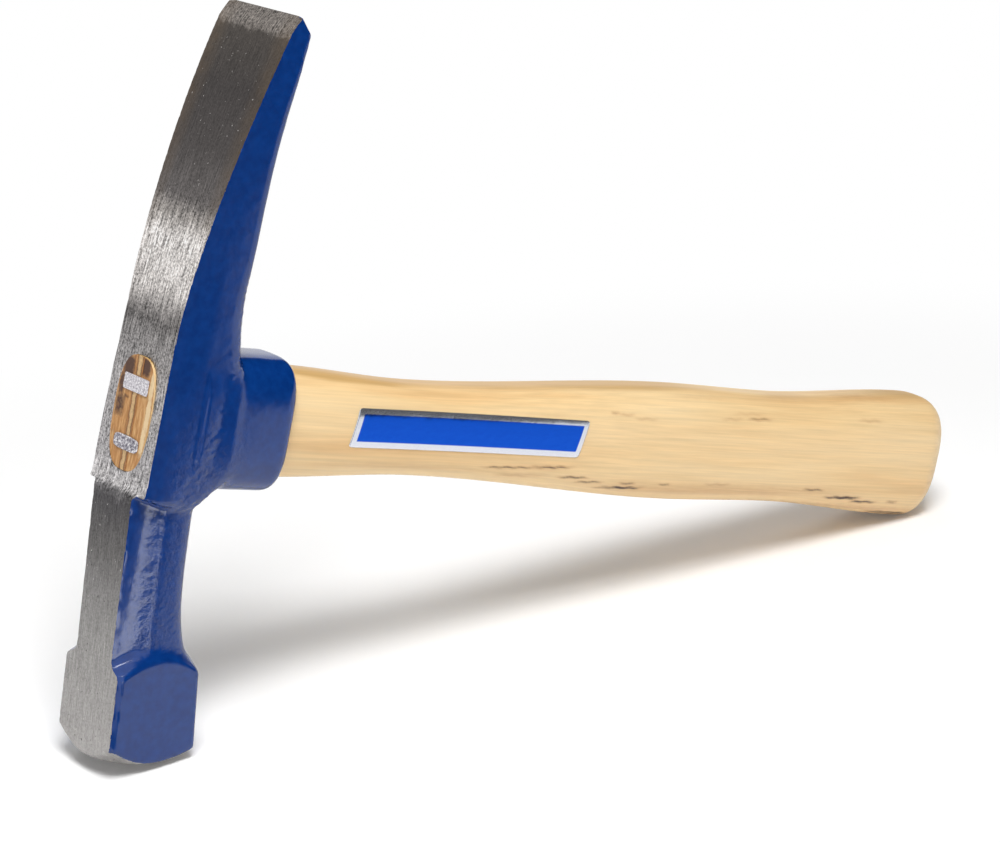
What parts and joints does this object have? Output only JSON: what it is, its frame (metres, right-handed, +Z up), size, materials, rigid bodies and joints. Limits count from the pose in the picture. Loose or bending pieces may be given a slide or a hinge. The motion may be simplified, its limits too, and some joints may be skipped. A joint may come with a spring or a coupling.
{
  "type": "brick hammer",
  "caption": "Forged bricklayer's hammer head with a square striking poll, a neck and a swept chisel blade, wedged on a shaped wooden handle.",
  "frame": {"origin": "centre of the outline at the level of the bench that the hammer stands on, resting on the edge of its striking face and on its butt", "axes": "+X along the handle's run over the bench, from the head to the butt; +Y across the cheeks, away from the labelled side; +Z up, towards the chisel edge"},
  "size_m": [0.3169, 0.0328, 0.193],
  "materials": {
    "head": "gloss blue paint with the top face ground bright",
    "handle": "lacquered",
    "wood_wedge": "raw end grain",
    "steel_wedges": "bright",
    "label": "printed film"
  },
  "bodies": {
    "root": {"hammer_head": "head", "handle": "handle", "wooden_wedge": "wood_wedge", "square_steel_wedge": "steel_wedges", "round_steel_wedge": "steel_wedges", "handle_label": "label"}
  },
  "joints": []
}
